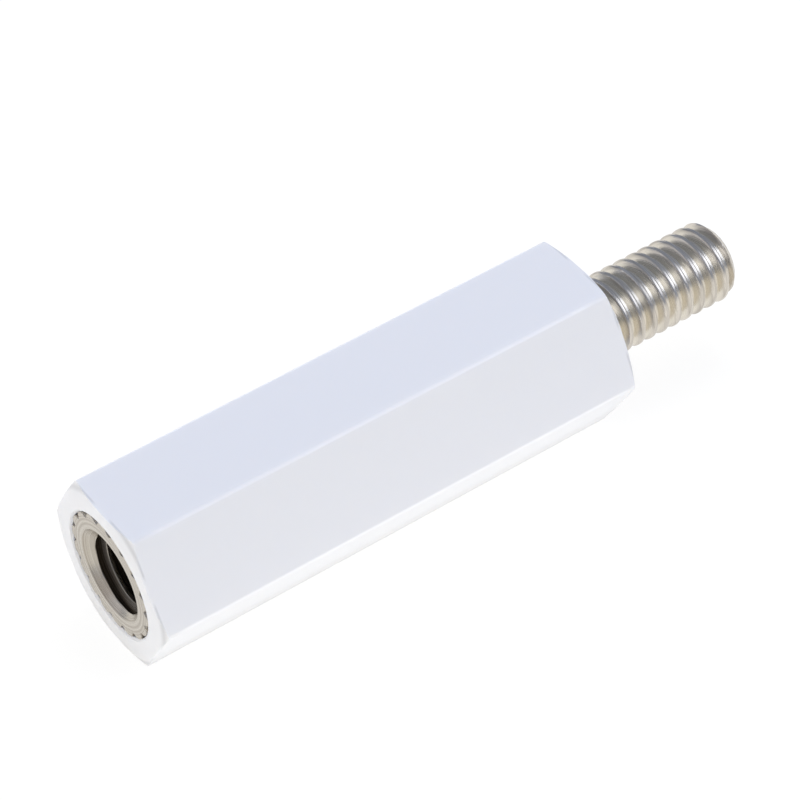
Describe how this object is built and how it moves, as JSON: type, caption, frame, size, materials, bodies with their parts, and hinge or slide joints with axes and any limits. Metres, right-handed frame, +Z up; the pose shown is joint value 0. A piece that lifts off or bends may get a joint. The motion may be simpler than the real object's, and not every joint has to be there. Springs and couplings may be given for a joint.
{
  "type": "hex standoff",
  "caption": "White plastic hexagon standoff with a knurled tapped metal bush in one end and a metal threaded stud on the other.",
  "frame": {"origin": "centre of the female seat face, on the axis of the threads", "axes": "+X along the axis from the female seat face to the tip of the stud, +Z up and square to the top flat; the standoff lies on the flat that faces -Z"},
  "size_m": [0.033, 0.009, 0.0078],
  "materials": {
    "white_polyamide": "satin",
    "bush_metal": "satin",
    "stud_metal": "satin"
  },
  "bodies": {
    "root": {"hex_body": "white_polyamide", "threaded_insert": "bush_metal", "threaded_stud": "stud_metal"}
  },
  "joints": []
}
